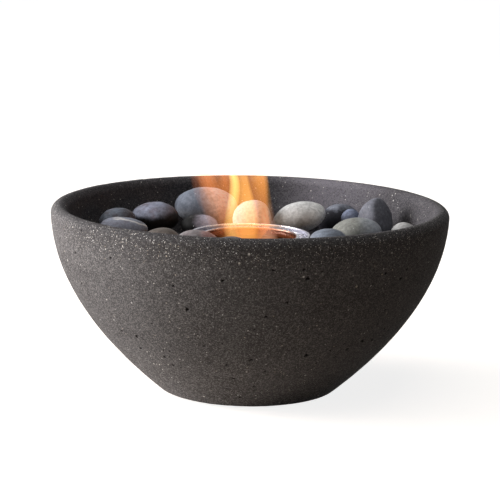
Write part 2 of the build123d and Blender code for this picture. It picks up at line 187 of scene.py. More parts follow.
# Painted light and shade on pebbles, where a pebble turns to another colour: axis, the places it starts and
# ends at along it, the colour there
PEBBLE_PAINTED_LIGHT_AND_SHADE = {
    # Painted shade: the shaded right end darkened brown
    "pebble_left_back_rim": [(0, Fade(-97.0, -86.0), (0.050, 0.036, 0.036))],
    # Painted shade: the right end darkened to reddish brown and the underside to near black
    "pebble_left_back": [
        (0, Fade(-66.0, -55.0), (0.105, 0.066, 0.060)),
        (2, Fade(118.8, 113.0), (0.014, 0.012, 0.012)),
    ],
    # Painted light: the underside and the right end made paler
    "pebble_back_large": [
        (2, Fade(119.0, 110.0), (0.300, 0.315, 0.350)),
        (0, Fade(-40.0, -22.0), (0.500, 0.510, 0.560)),
    ],
    # Painted shadow: the underside near black; the right end turns pale lilac
    "pebble_back_low": [
        (2, Fade(117.5, 113.0), (0.010, 0.010, 0.010)),
        (0, Fade(-43.0, -30.0), (0.480, 0.440, 0.520)),
    ],
    # Painted light: the right end and the underside made nearly white
    "pebble_back_right": [
        (0, Fade(36.0, 54.0), (0.840, 0.840, 0.830)),
        (2, Fade(112.0, 104.0), (0.880, 0.880, 0.870)),
    ],
    # Painted light: the right end tinted pink by the flame's glow
    "pebble_front_left": [(0, Fade(-36.0, -29.0), (0.340, 0.190, 0.172))],
    # Painted shadow: the lower part darkened where the next pebble's shadow falls
    "pebble_right_back": [(2, Fade(120.5, 116.5), (0.018, 0.018, 0.022))],
    # Painted light: the right end made paler
    "pebble_right": [(0, Fade(76.0, 92.0), (0.320, 0.345, 0.382))],
}
END_UNEVEN = 14.0
# How strongly a pebble is stained brown
PEBBLE_STAINS = {
    "pebble_left_back": 0.6, "pebble_left_back_rim": 0.6, "pebble_left_rim": 0.35, "pebble_front_left": 0.45,
    "pebble_back_right": 0.0,
}
PLAIN_STAIN = 0.12
STAIN_CLOUDS, STAIN_START, STAIN_STOP = Clouds(130.0, 4.0, 0.6), 0.50, 0.68
STAIN_TINT = (0.62, 0.42, 0.38)
# Stone: blending of the two tones, mottling, pepper and salt, and the surface
STONE_CLOUDS, STONE_CLOUD_FADE = Clouds(60.0, 5.0, 0.6), Fade(0.33, 0.68)
MIXED_SHADE = (0.75, 0.75, 0.76)
MOTTLE_CLOUDS = Clouds(420.0, 4.0, 0.65)
PALE_MOTTLE_FADE, PALE_MOTTLE_TINT = Fade(0.45, 0.75, 0.0, 0.6), (1.8, 1.8, 1.8)
DARK_MOTTLE_FADE, DARK_MOTTLE_TINT = Fade(0.50, 0.25, 0.0, 0.6), (0.6, 0.6, 0.6)
PEPPER, PEPPER_SHARE, PEPPER_TONE = Spots(1.7, 0.28, 0.5), 0.35, (0.05, 0.05, 0.05)
SALT, SALT_SHARE, SALT_TONE = Spots(2.2, 0.22, 0.5), 0.5, (0.60, 0.60, 0.60)
STONE_ROUGH, STONE_GLOSS = Fade(0.3, 0.7, 0.48, 0.66), 0.06
STONE_GRAIN, MOTTLE_HEIGHT_SHARE, STONE_RELIEF = Clouds(1500.0, 2.0), 0.6, Relief(0.25, 0.12)
# The middle of a noise, which its swing is measured from
NOISE_MIDDLE = 0.5
# A pale vein along a circle seen from the front: x and z of its middle, its radius and the x it starts at
PEBBLE_VEINS = {"pebble_left_rim": (-96.0, 73.7, 48.0, -100.0)}
VEIN_TONE, VEIN_UNEVEN, VEIN_START_LENGTH = (0.60, 0.59, 0.58), 3.0, 4.0
VEIN_FADE = Fade(0.1, 0.5, 0.9, 0.0)
# Flats worn on a pebble: bearing and rise of the way each faces, in degrees, and its depth
PEBBLE_FLATS = {"pebble_right_upright": ((212, 8, 2.0), (322, 24, 5.0)), "pebble_right": ((196, 52, 1.6),)}
FLAT_EDGE = 8
# How much a pebble swells to its left end, its right end and its top, or sinks where negative
PEBBLE_SWELLS = {
    "pebble_right_upright": (3.4, 0.0, 0.7), "pebble_right_back": (6.0, 1.0, 3.0),
    "pebble_right_rim": (1.6, 0.4, 1.1), "pebble_back_large": (0.0, 3.0, 1.2),
    "pebble_back_middle": (0.0, 1.0, 1.3), "pebble_between_15": (0.0, 0.0, -4.5),
}
NO_SWELL = (0.0, 0.0, 0.0)
# Wear: its depth on the whole, its waves, each with a depth and a length, the least depth, and the steps
# between one pebble's pattern and the next one's
WEAR_DEPTH, WEAR_WAVES, WEAR_LEAST = 0.55, ((0.9, 17), (0.25, 6.5), (0.05, 2.2)), 0.02
WEAR_STEPS = (3.7, 1.3, 2.1)
# Fineness of a pebble with a node of its own and of one in a shared node, and the grid that joins points
PEBBLE_DIVISIONS, BED_DIVISIONS = 5, 4
SAME_PLACE = 0.001

# The can's ring of plate: radii along its middle from the outside in, depths below its top, and bends
MOUTH_RADIUS = 33.5
RING_PLATE, RING_COLUMNS, BEND_POINTS = 0.5, 240, 6
RING_LINE = [
    (43.40, 3.20, 0.0), (43.40, 0.25, 0.55), (42.10, 0.25, 0.55), (42.10, 4.00, 1.0),
    (35.85, 4.00, 1.0), (35.85, 1.25, 0.9), (33.75, 1.25, 0.9), (33.75, 7.00, 0.0),
]
# Tin plate, browned inside the mouth by heat, the brown there partly a painted glow of the flame
TIN_CLOUDS, TIN_CLOUD_FADE = Clouds(70.0, 4.0), Fade(0.35, 0.65)
TIN_TONES = ((0.405, 0.405, 0.450), (0.315, 0.315, 0.360))
BROWNED_AND_GLOW_TONE, BROWNED_AND_GLOW_SHARE = (0.22, 0.110, 0.075), 0.92
BROWNED_AND_GLOW_FADE = Fade(MOUTH_RADIUS + 0.9, MOUTH_RADIUS + 0.2)
TIN_ROUGH = Fade(0.3, 0.7, 0.24, 0.32)

# Gel: shares of its radius with the rise there, the drop of its middle, and the waves on it
GEL_ROWS = [(0.02, 0), (0.25, 0), (0.5, 0), (0.75, 0), (0.92, 0.3), (0.98, 0.9), (1.0, 1.6)]
GEL_COLUMNS, GEL_DROP = 72, 0.6
GEL_WAVE, GEL_WAVE_REPEATS, GEL_WAVE_EDGE = 0.5, 90, 6
GEL_CLOUDS, GEL_CLOUD_FADE = Clouds(80.0, 4.0), Fade(0.35, 0.65)
GEL_TONES = ((0.42, 0.17, 0.07), (0.60, 0.28, 0.13))
GEL_RIPPLES, GEL_RELIEF = Clouds(160.0, 3.0), Relief(0.4, 0.6)
GEL_ROUGH, GEL_IOR, GEL_COAT = 0.16, 1.37, 0.4

# Rubber of the pads
RUBBER_GRAIN, RUBBER_FADE, RUBBER_RELIEF = Clouds(900.0, 3.0), Fade(0.3, 0.7), Relief(0.3, 0.1)
RUBBER_TONES = ((0.018, 0.018, 0.018), (0.040, 0.040, 0.041))
RUBBER_ROUGH = 0.75

# The flame leans back as it rises: y and z at four stages, and half depths there
FLAME_LEAN = ((4.0, 103.6), (10.0, 117.5), (29.0, 134.0), (53.0, 148.7))
FLAME_DEPTHS = (6.5, 7.0, 6.0, 3.0)
# A tongue: x, half width and light at the stages, its colour, how far it gathers to its right edge, and how
# much of its width is soft
Tongue = namedtuple("Tongue", "across widths light colour gather soft lean depths",
                    defaults=(FLAME_LEAN, FLAME_DEPTHS))
TONGUES = [
    Tongue((-4.0, -4.2, -9.0, -15.2), (5.0, 18.8, 23.5, 26.0), (0.10, 0.34, 0.39, 0.39),
           (1.0, 0.315, 0.08), gather=0.75, soft=0.5),
    Tongue((-12.0, -21.0, -29.0, -37.0), (4.0, 9.0, 11.0, 9.0), (0.0, 0.05, 0.13, 0.26),
           (1.0, 0.32, 0.14), gather=0.0, soft=0.9),
    Tongue((-14.0, -22.0, -28.0, -32.0), (4.0, 7.5, 9.0, 7.6), (0.0, 0.06, 0.16, 0.33),
           (1.0, 0.36, 0.11), gather=0.0, soft=0.9),
    Tongue((-13.0, -17.5, -19.0, -19.4), (4.0, 5.0, 5.5, 4.6), (0.02, 0.06, 0.14, 0.27),
           (1.0, 0.35, 0.11), gather=0.0, soft=0.9),
    Tongue((-6.5, -14.0, -12.2, -13.4), (6.0, 5.2, 4.0, 3.5), (0.05, 0.36, 0.86, 1.15),
           (1.0, 0.75, 0.24), gather=0.0, soft=1.0),
    Tongue((-1.0, -2.5, -4.6, -7.0), (6.5, 9.5, 7.4, 5.2), (0.16, 0.38, 0.62, 0.52),
           (1.0, 0.53, 0.12), gather=0.5, soft=0.8),
    Tongue((6.5, 9.7, 8.3, 5.2), (4.0, 6.8, 7.6, 6.8), (0.0, 0.04, 0.20, 0.50),
           (1.0, 0.46, 0.08), gather=0.3, soft=0.8),
    Tongue((12.0, 13.0, 13.0, 13.0), (8.0, 7.0, 3.0, 1.0), (0.40, 0.28, 0.0, 0.0),
           (1.0, 0.50, 0.34), gather=0.0, soft=0.9),
    Tongue((-6.0, -8.0, -10.0, -12.0), (12.0, 12.0, 4.0, 2.0), (0.34, 0.26, 0.0, 0.0),
           (1.0, 0.48, 0.16), gather=0.0, soft=0.95),
]
# Low light over the burning gel
MOUTH_LIGHT = Tongue((-2, -1, 0, -2), (24, 26, 22, 11), (0.20, 0.20, 0.20, 0.20),
                     (1.0, 0.38, 0.10), gather=0.0, soft=0.8,
                     lean=((2, 103.9), (4, 107), (6, 110), (8, 114)), depths=(16, 18, 14, 7))
# Skins round a tongue and how they crowd to its outside, their points, and the shares of the height that
# fade at the foot and the top
SKINS, SKIN_CROWDING = 8, 1.3
FLAME_STEPS, FLAME_SIDES = 30, 22
FLAME_FOOT_SHARE, FLAME_TOP_SHARE = 0.10, 0.03
# A tongue's width wavers: by how much, how often, and the step from one tongue to the next
WAVER_SHARE, WAVER_TURNS, WAVER_STEP = 0.06, 8, 2
# What a skin lets through, so that the flame can be made out against white
FLAME_CLEAR = (1.0, 0.997, 0.993, 1.0)
# Enough for a line of sight through every skin
TRANSPARENT_BOUNCES = 256

# Floor: its reach, tones, how it darkens away from the bowl, and the white it shows to the camera
FLOOR_REACH = 6
FLOOR_TONES, FLOOR_FAR_TONE = ((0.52, 0.45, 0.38), (0.56, 0.49, 0.42)), (0.36, 0.31, 0.26)
FLOOR_GRAIN, FLOOR_GRAIN_FADE = Clouds(40.0, 3.0), Fade(0.3, 0.7)
FLOOR_FAR_FADE, FLOOR_WHITE_FADE = Fade(0.18, 0.6), Fade(0.10, 0.6, 0.84, 1.0)
WHITE = (1.0, 1.0, 1.0, 1.0)
# Surroundings as the bowl is lit by them; the camera and reflections see white
DIM_TONE, DIM_LIGHT = (1.0, 0.86, 0.72, 1.0), 0.015

# Lamps: place, what they face, size, power and colour
Lamp = namedtuple("Lamp", "place target size power colour")
KEY_LEFT = Lamp((-1.50, 0.13, 0.52), (0, 0, 0.10), (1.1, 1.1), 66.0, (1.0, 0.985, 1.0))
CARD_LEFT = Lamp((-0.30, -0.20, 0.02), (-0.06, -0.04, 0.03), (0.30, 0.03), 0.50, (1.0, 0.97, 0.93))
TOP_SOFT = Lamp((-0.15, -0.45, 1.6), (0, 0, 0.10), (1.4, 1.4), 11.0, (1.0, 0.985, 0.97))
GLOW_PLACE, GLOW_SIZE, GLOW_POWER, GLOW_COLOUR = (-0.006, 0.006, 0.122), 0.015, 0.02, (1.0, 0.50, 0.18)

# Camera, fitted to the photograph: angles in degrees, lens and sensor in millimetres
CAMERA_PLACE = (0.0, -1.46728, 0.37861)
CAMERA_DOWN, CAMERA_ROLL = 11.99, 0.967
CAMERA_LENS, CAMERA_SENSOR = 148.79, 36.0
CAMERA_SHIFT = (0.00266, 0.09306)
CAMERA_CLIP = (0.05, 50.0)


def new_object(name, data):
    made = bpy.data.objects.new(name, data)
    bpy.context.scene.collection.objects.link(made)
    return made


def mesh_from(name, points, faces, smooth=True):
    mesh = bpy.data.meshes.new(name)
    mesh.from_pydata([tuple(p) for p in points], [], faces)
    mesh.polygons.foreach_set("use_smooth", [smooth] * len(mesh.polygons))
    mesh.update()
    return mesh


def vectors(mesh, what):
    """The place or the normal of each point of a mesh."""
    values = np.empty(len(mesh.vertices) * 3)
    mesh.vertices.foreach_get(what, values)
    return values.reshape(-1, 3)


def keep_values(mesh, label, values):
    """Keeps a number or a colour for each point, under a name that a material asks for."""
    values = np.array(values, np.float32)
    kind, field = ("FLOAT", "value") if values.ndim == 1 else ("FLOAT_COLOR", "color")
    attribute = mesh.attributes.new(label, kind, "POINT")
    attribute.data.foreach_set(field, values.ravel())


class Shader:
    """The nodes of a material or of the surroundings, and short ways to add them."""

    def __init__(self, owner):
        owner.use_nodes = True
        self.owner = owner
        self.tree = owner.node_tree
        self.tree.nodes.clear()

    def node(self, kind, inputs=None, **settings):
        made = self.tree.nodes.new("ShaderNode" + kind)
        for key, value in settings.items():
            setattr(made, key, value)
        for key, value in (inputs or {}).items():
            self.feed(made.inputs[key], value)
        return made

    def feed(self, socket, value):
        if isinstance(value, bpy.types.NodeSocket):
            self.tree.links.new(value, socket)
        else:
            socket.default_value = value

    def place(self):
        return self.node("TexCoord").outputs["Object"]

    def stored(self, label):
        return self.node("Attribute", attribute_name=label).outputs

    def noise(self, place, clouds):
        inputs = {"Vector": place, "Scale": clouds.scale, "Detail": clouds.detail, "Roughness": clouds.rough}
        return self.node("TexNoise", inputs).outputs["Fac"]

    def math(self, operation, a, b=0.0):
        return self.node("Math", {0: a, 1: b}, operation=operation).outputs[0]

    def times(self, a, b):
        return self.math("MULTIPLY", a, b)

    def swing(self, pattern, length):
        """A noise as a length to either side of zero."""
        return self.times(self.math("SUBTRACT", pattern, NOISE_MIDDLE), length * MM)

    def fade(self, value, fade, unit=1.0, smooth=False):
        inputs = {
            "Value": value, "From Min": fade.start * unit, "From Max": fade.stop * unit,
            "To Min": fade.low, "To Max": fade.high,
        }
        kind = "SMOOTHSTEP" if smooth else "LINEAR"
        return self.node("MapRange", inputs, interpolation_type=kind).outputs[0]

    def mix(self, factor, a, b, blend="MIX"):
        made = self.node("Mix", {0: factor}, data_type="RGBA", blend_type=blend)
        for index, value in zip(MIX_INPUTS, (a, b)):
            if isinstance(value, tuple):
                value = (*value, 1.0)
            self.feed(made.inputs[index], value)
        return made.outputs[MIX_OUTPUT]

    def tinted(self, colour, tint):
        return self.mix(1.0, colour, tint, "MULTIPLY")

    def ramp(self, factor, stops):
        made = self.node("ValToRGB", {"Fac": factor})
        ramp = made.color_ramp
        while len(ramp.elements) < len(stops):
            ramp.elements.new(0.5)
        for element, (position, colour) in zip(ramp.elements, stops):
            element.position = position
            element.color = (*colour, 1.0)
        return made.outputs["Color"]

    def cells(self, place, size):
        """A pattern of cells: the distance from a cell's middle, and three random numbers for each."""
        made = self.node("TexVoronoi", {"Vector": place, "Scale": 1 / (size * MM), "Randomness": 1.0})
        randoms = self.node("SeparateColor", {"Color": made.outputs["Color"]}).outputs
        return made.outputs["Distance"], randoms

    def spots(self, place, spots):
        """Round spots, one in some of the cells: their mask, and a random number for each."""
        distance, randoms = self.cells(place, spots.cell)
        radius = self.times(self.math("POWER", randoms[0], SPOT_RARITY), spots.largest)
        inside = self.math("SUBTRACT", radius, distance)
        mask = self.fade(inside, Fade(0.0, spots.largest * SPOT_EDGE_SHARE))
        kept = self.math("LESS_THAN", randoms[1], spots.keep)
        return self.times(mask, kept), randoms[2]

    def bump(self, height, relief):
        inputs = {"Height": height, "Strength": relief.strength, "Distance": relief.height * MM}
        return self.node("Bump", inputs).outputs[0]

    def seen(self):
        """One where the camera, a reflection or glass looks, and zero where light is gathered."""
        path = self.node("LightPath").outputs
        mirrored = self.math("MAXIMUM", path["Is Glossy Ray"], path["Is Transmission Ray"])
        return self.math("MAXIMUM", path["Is Camera Ray"], mirrored)

    def finish(self, inputs):
        return self.output(self.node("BsdfPrincipled", inputs))

    def output(self, surface):
        self.node("OutputMaterial", {"Surface": surface.outputs[0]})
        return self.owner


def new_shader(name):
    return Shader(bpy.data.materials.new(name))


def concrete_material():
    """Dark cast concrete: sand of many tones, pale grit that lies thickest on the lip, and pits; painted
    shade in pits, pinholes and the outside's middle, painted light at the foot and at the inside's back on
    the right.
    """
    s = new_shader("cast_concrete")
    place = s.place()
    axes = s.node("SeparateXYZ", {"Vector": place}).outputs
    outside = s.stored("outside")["Fac"]
    lip = s.times(s.fade(axes["Z"], LIP_HEIGHT, MM, smooth=True), s.fade(outside, LIP_OUTSIDE))
    lip = s.times(lip, s.fade(axes["Y"], LIP_FRONT, MM, smooth=True))
    colour = s.mix(s.fade(s.noise(place, CONCRETE_CLOUDS), CONCRETE_CLOUD_FADE), *CONCRETE_TONES)
    colour = s.mix(s.fade(outside, INSIDE_FADE), colour, INSIDE_TONE)
    # Painted light: the inside at the back on the right made paler where light falls on it
    painted_light_behind = s.times(s.fade(axes["Y"], INSIDE_BACK, MM), s.fade(outside, INSIDE_ONLY))
    painted_light_behind = s.times(painted_light_behind, s.fade(axes["X"], INSIDE_RIGHT, MM))
    colour = s.mix(painted_light_behind, colour, INSIDE_BACK_PAINTED_LIGHT)
    colour = sanded(s, place, outside, colour)
    colour = s.mix(s.times(lip, LIP_TONE_SHARE), colour, LIP_TONE)
    density = s.fade(s.noise(place, GRIT_PATCHES), GRIT_PATCH_FADE)
    lip_density = s.times(lip, LIP_GRIT_SHARE)
    for grit, share in ((LIP_GRIT, lip_density), (SMALL_GRIT, density), (LARGE_GRIT, density)):
        mask, randoms = s.spots(place, grit)
        colour = s.mix(s.times(mask, share), colour, s.ramp(randoms, GRIT_TONES))
    # Painted light and shade: the outside made paler at the foot, where the floor's bounce falls, and darker
    # at its middle
    painted_bounce_and_shade = s.math("ADD", s.fade(axes["Z"], FOOT_PAINTED_BOUNCE, MM), s.fade(axes["Z"], BELT_TOP, MM))
    colour = s.mix(s.fade(outside, BELT_OUTSIDE), colour, s.tinted(colour, painted_bounce_and_shade))
    holes, _ = s.spots(place, PINHOLES)
    # Painted shade: pits and pinholes darkened in colour, as if shade fell in their hollows
    colour = s.mix(s.math("MAXIMUM", holes, s.stored("pit")["Fac"]), colour, PIT_PAINTED_SHADE)
    height = s.math("SUBTRACT", s.noise(place, CONCRETE_GRAIN), s.times(holes, PINHOLE_DEPTH))
    return s.finish({
        "Base Color": colour, "Roughness": CONCRETE_ROUGH, "Specular IOR Level": CONCRETE_GLOSS,
        "Normal": s.bump(height, CONCRETE_RELIEF),
    })


def sanded(s, place, outside, colour):
    """A colour with dark and pale grains of sand in it."""
    _, sand = s.cells(place, SAND_GRAIN)
    colour = s.mix(s.fade(sand[0], SAND_DARK_FADE), colour, SAND_DARK_TONE)
    pale = s.times(s.fade(sand[0], SAND_PALE_FADE), s.fade(outside, SAND_PALE_OUTSIDE))
    return s.mix(pale, colour, SAND_PALE_TONE)


def stone_material(name, tones=None):
    """River stone: its own two tones, or each stone's tone from the mesh, with mottling, pepper and salt,
    and painted light and shade towards an end or the underside of some stones.
    """
    s = new_shader(name + "_look")
    place = s.place()
    axes = s.node("SeparateXYZ", {"Vector": place}).outputs
    clouds = s.noise(place, STONE_CLOUDS)
    mottle = s.noise(place, MOTTLE_CLOUDS)
    if tones is None:
        lit = s.stored("stone")["Color"]
        shaded = s.tinted(lit, MIXED_SHADE)
    else:
        lit, shaded = tones
    colour = s.mix(s.fade(clouds, STONE_CLOUD_FADE), shaded, lit)
    # Painted light and shade: an end or the underside of a pebble made paler or darker where light or shade
    # falls on it
    for axis, fade, tone in PEBBLE_PAINTED_LIGHT_AND_SHADE.get(name, ()):
        along = s.math("ADD", axes[axis], s.swing(clouds, END_UNEVEN))
        colour = s.mix(s.fade(along, fade, MM, smooth=True), colour, tone)
    stain = Fade(STAIN_START, STAIN_STOP, 0.0, PEBBLE_STAINS.get(name, PLAIN_STAIN))
    colour = s.mix(s.fade(s.noise(place, STAIN_CLOUDS), stain), colour, s.tinted(colour, STAIN_TINT))
    colour = s.mix(s.fade(mottle, PALE_MOTTLE_FADE), colour, s.tinted(colour, PALE_MOTTLE_TINT))
    colour = s.mix(s.fade(mottle, DARK_MOTTLE_FADE), colour, s.tinted(colour, DARK_MOTTLE_TINT))
    for spots, share, tone in ((PEPPER, PEPPER_SHARE, PEPPER_TONE), (SALT, SALT_SHARE, SALT_TONE)):
        mask, _ = s.spots(place, spots)
        colour = s.mix(s.times(mask, share), colour, tone)
    if name in PEBBLE_VEINS:
        colour = s.mix(vein(s, axes, clouds, PEBBLE_VEINS[name]), colour, VEIN_TONE)
    height = s.math("ADD", s.times(mottle, MOTTLE_HEIGHT_SHARE), s.noise(place, STONE_GRAIN))
    return s.finish({
        "Base Color": colour, "Roughness": s.fade(clouds, STONE_ROUGH), "Specular IOR Level": STONE_GLOSS,
        "Normal": s.bump(height, STONE_RELIEF),
    })


def vein(s, axes, clouds, circle):
    """A thin uneven line, as a mask."""
    x, z, radius, start = (value * MM for value in circle)
    across = s.math("SUBTRACT", axes[0], x)
    up = s.math("SUBTRACT", axes[2], z)
    away = s.math("SQRT", s.math("ADD", s.times(across, across), s.times(up, up)))
    away = s.math("ADD", away, s.swing(clouds, VEIN_UNEVEN))
    off = s.math("ABSOLUTE", s.math("SUBTRACT", away, radius))
    begun = s.fade(axes[0], Fade(start, start + VEIN_START_LENGTH * MM))
    return s.times(begun, s.fade(off, VEIN_FADE, MM))


def tin_material():
    """Bright tin plate, browned by the heat inside the mouth, the brown partly a painted glow of the flame.
    """
    s = new_shader("bright_tin_plate")
    place = s.place()
    level = s.node("VectorMath", {0: place, 1: (1.0, 1.0, 0.0)}, operation="MULTIPLY").outputs["Vector"]
    radius = s.node("VectorMath", {0: level}, operation="LENGTH").outputs["Value"]
    cloud = s.noise(place, TIN_CLOUDS)
    colour = s.mix(s.fade(cloud, TIN_CLOUD_FADE), *TIN_TONES)
    # Browned by heat inside the mouth, and partly painted glow of the flame on the inner wall
    colour = s.mix(s.times(s.fade(radius, BROWNED_AND_GLOW_FADE, MM), BROWNED_AND_GLOW_SHARE), colour, BROWNED_AND_GLOW_TONE)
    return s.finish({"Base Color": colour, "Metallic": 1.0, "Roughness": s.fade(cloud, TIN_ROUGH)})


def gel_material():
    s = new_shader("amber_gel")
    place = s.place()
    colour = s.mix(s.fade(s.noise(place, GEL_CLOUDS), GEL_CLOUD_FADE), *GEL_TONES)
    return s.finish({
        "Base Color": colour, "Roughness": GEL_ROUGH, "IOR": GEL_IOR, "Coat Weight": GEL_COAT,
        "Normal": s.bump(s.noise(place, GEL_RIPPLES), GEL_RELIEF),
    })


def rubber_material():
    s = new_shader("pad_rubber")
    grain = s.noise(s.place(), RUBBER_GRAIN)
    colour = s.mix(s.fade(grain, RUBBER_FADE), *RUBBER_TONES)
    normal = s.bump(grain, RUBBER_RELIEF)
    return s.finish({"Base Color": colour, "Roughness": RUBBER_ROUGH, "Normal": normal})


def flame_material():
    """Light added to whatever is seen through it."""
    s = new_shader("flame_light")
    light = s.node("Emission", {"Color": s.stored("glow")["Color"], "Strength": 1.0})
    clear = s.node("BsdfTransparent", {"Color": FLAME_CLEAR})
    return s.output(s.node("AddShader", {0: light.outputs[0], 1: clear.outputs[0]}))


def floor_material():
    """A pale floor that keeps the shadow and turns white to the camera."""
    s = new_shader("pale_floor")
    away = s.node("VectorMath", {0: s.place()}, operation="LENGTH").outputs["Value"]
    colour = s.mix(s.fade(s.noise(s.place(), FLOOR_GRAIN), FLOOR_GRAIN_FADE), *FLOOR_TONES)
    colour = s.mix(s.fade(away, FLOOR_FAR_FADE), colour, FLOOR_FAR_TONE)
    matt = s.node("BsdfDiffuse", {"Color": colour})
    strength = s.times(s.seen(), s.fade(away, FLOOR_WHITE_FADE, smooth=True))
    lift = s.node("Emission", {"Color": WHITE, "Strength": strength})
    return s.output(s.node("AddShader", {0: matt.outputs[0], 1: lift.outputs[0]}))


def bezier(points, count):
    """Points along a Bezier curve of any degree."""
    t = np.linspace(0, 1, count)[:, None]
    level = [np.array(p, float) * np.ones_like(t) for p in points]
    while len(level) > 1:
        level = [(1 - t) * a + t * b for a, b in zip(level, level[1:])]
    return level[0]


def spaced(points, step):
    """The same line with its points a step apart."""
    points = np.asarray(points, float)
    along = np.append(0, np.cumsum(np.linalg.norm(np.diff(points, axis=0), axis=1)))
    count = max(2, round(along[-1] / step) + 1)
    wanted = np.linspace(0, along[-1], count)
    return np.stack([np.interp(wanted, along, points[:, k]) for k in (0, 1)], 1)


def bowl_profile():
    """Radius and height from the middle of the underside, over the lip, to the middle of the floor."""
    slope = math.atan2(OUTER_FLARE[1] - BASE_Z, OUTER_FLARE[0] - BASE_RADIUS)
    setback = BASE_ROUND * math.tan(slope / 2)
    turn = np.linspace(0, slope, CORNER_POINTS)
    x, z = BASE_RADIUS - setback, BASE_Z + BASE_ROUND
    corner = np.stack([x + BASE_ROUND * np.sin(turn), z - BASE_ROUND * np.cos(turn)], 1)
    outer = bezier(OUTER_CURVE, CURVE_POINTS)
    outer = outer[np.hypot(outer[:, 0] - BASE_RADIUS, outer[:, 1] - BASE_Z) > setback]
    turn = np.linspace(0, math.pi, LIP_POINTS)[1:-1]
    x, z = RIM_RADIUS - LIP_ROUND, LIP_Z
    lip = np.stack([x + LIP_ROUND * np.cos(turn), z + LIP_ROUND * np.sin(turn)], 1)
    inner = bezier(INNER_CURVE, CURVE_POINTS)[::-1]
    shown = inner[:, 1] > SHOWN_INSIDE_Z
    return np.vstack([
        spaced([(CAP_RADIUS, BASE_Z), corner[0]], UNDER_STEP)[:-1],
        spaced(np.vstack([corner, outer]), WALL_STEP)[:-1],
        spaced(np.vstack([[(RIM_RADIUS, LIP_Z)], lip, inner[:1]]), LIP_STEP)[:-1],
        spaced(inner[shown], WALL_STEP),
        spaced(inner[~shown], HIDDEN_STEP),
        spaced([(FLOOR_RADIUS, FLOOR_Z), (CAP_RADIUS, FLOOR_Z)], FLOOR_STEP)[1:],
    ])


def pit_list():
    """The pits on the outside and the lip."""
    rng = random.Random(PIT_SEED)
    top = LIP_Z + LIP_ROUND
    pits = []
    for bearing, share, length, width in SEEN_PITS:
        turn = rng.uniform(*SEEN_TURNS)
        pits.append(Pit(bearing, share * top, length, width, turn, SEEN_DEPTH_SHARE * width))
    for _ in range(OTHER_PITS):
        size = PIT_LEAST + PIT_GROWTH * rng.random() ** PIT_RARITY
        height = top * (PIT_LOW_SHARE + PIT_RANGE_SHARE * rng.random())
        if rng.random() < PIT_BAND_CHANCE:
            height = top * rng.gauss(*PIT_BAND_SHARES)
        bearing = rng.uniform(0, 360)
        length = size * rng.uniform(*OTHER_LENGTH_SHARES)
        pits.append(Pit(bearing, height, length, size, rng.uniform(*OTHER_TURNS), size))
    return pits


def outer_radius_at(height):
    curve = bezier(OUTER_CURVE, CURVE_POINTS)
    return float(np.interp(min(height, LIP_Z), curve[:, 1], curve[:, 0]))


def skin_faces(rows, columns, closed):
    """Faces between rows of points round a line, with caps at its ends where it isn't closed."""
    faces = []
    for row in range(rows if closed else rows - 1):
        here, above = row * columns, (row + 1) % rows * columns
        for column in range(columns):
            after = (column + 1) % columns
            faces.append((here + column, here + after, above + after, above + column))
    if not closed:
        faces.append(tuple(range(columns))[::-1])
        faces.append(tuple(range((rows - 1) * columns, rows * columns)))
    return faces


def turned(name, profile, columns, closed):
    """A profile of radius and height, turned round the upright axis."""
    turn = np.linspace(0, 2 * math.pi, columns, endpoint=False)
    radius, height = profile[:, :1], np.repeat(profile[:, 1:], columns, axis=1)
    points = np.stack([radius * np.cos(turn), radius * np.sin(turn), height], -1).reshape(-1, 3)
    return mesh_from(name, points * MM, skin_faces(len(profile), columns, closed))


def pitted_bowl():
    """The bowl's casting, with a finer mesh where the pits are."""
    mesh = turned("bowl", bowl_profile(), BOWL_COLUMNS, False)
    pits = pit_list()
    grid = bmesh.new()
    grid.from_mesh(mesh)
    tree = KDTree(len(grid.verts))
    for vert in grid.verts:
        tree.insert(vert.co, vert.index)
    tree.balance()
    centres = []
    near = set()
    for pit in pits:
        radius, angle = outer_radius_at(pit.height), math.radians(pit.bearing)
        guess = Vector((radius * math.cos(angle), radius * math.sin(angle), pit.height)) * MM
        centre = tree.find(guess)[0]
        centres.append(centre)
        reach = (PIT_REACH * pit.length + PIT_MARGIN) * MM
        near.update(index for _, index, _ in tree.find_range(centre, reach))
    edges = [e for e in grid.edges if e.verts[0].index in near and e.verts[1].index in near]
    bmesh.ops.subdivide_edges(grid, edges=edges, cuts=PIT_CUTS, use_grid_fill=True)
    grid.to_mesh(mesh)
    grid.free()
    sink_surface(mesh, pits, centres)
    return mesh


def sink_surface(mesh, pits, centres):
    """Makes the casting's unevenness, the pits with their painted shade, and the pads' sockets."""
    points, normals = vectors(mesh, "co"), vectors(mesh, "normal")
    sink = np.array([cast_sink(Vector(point)) for point in points])
    dark = np.zeros(len(points))
    for pit, centre in zip(pits, centres):
        offset = points / MM - np.array(centre) / MM
        close = np.flatnonzero((np.abs(offset) < PIT_REACH * pit.length).all(axis=1))
        if len(close):
            inside = pit_share(pit, centre, offset[close], normals[close])
            # Painted shade: how much a pit's hollow is darkened in colour
            shade = np.clip(PIT_DARK_GAIN * inside, 0, 1) ** PIT_DARK_POWER
            sink[close] = np.maximum(sink[close], pit.depth * inside)
            dark[close] = np.maximum(dark[close], shade)
    points -= normals * (sink * MM)[:, None]
    cut_sockets(points)
    mesh.vertices.foreach_set("co", points.ravel())
    radius = np.maximum(np.hypot(points[:, 0], points[:, 1]), MM)
    outward = (normals[:, :2] * points[:, :2]).sum(axis=1) / radius
    keep_values(mesh, "pit", dark)
    keep_values(mesh, "outside", np.clip(OUTSIDE_MIDDLE + OUTSIDE_GAIN * outward, 0, 1))
    mesh.update()


def cast_sink(at):
    """How far the uneven surface of the casting lies inside the solid."""
    return CAST_SINK + sum(height * noise.noise(at * repeats) for height, repeats in CAST_WAVES)


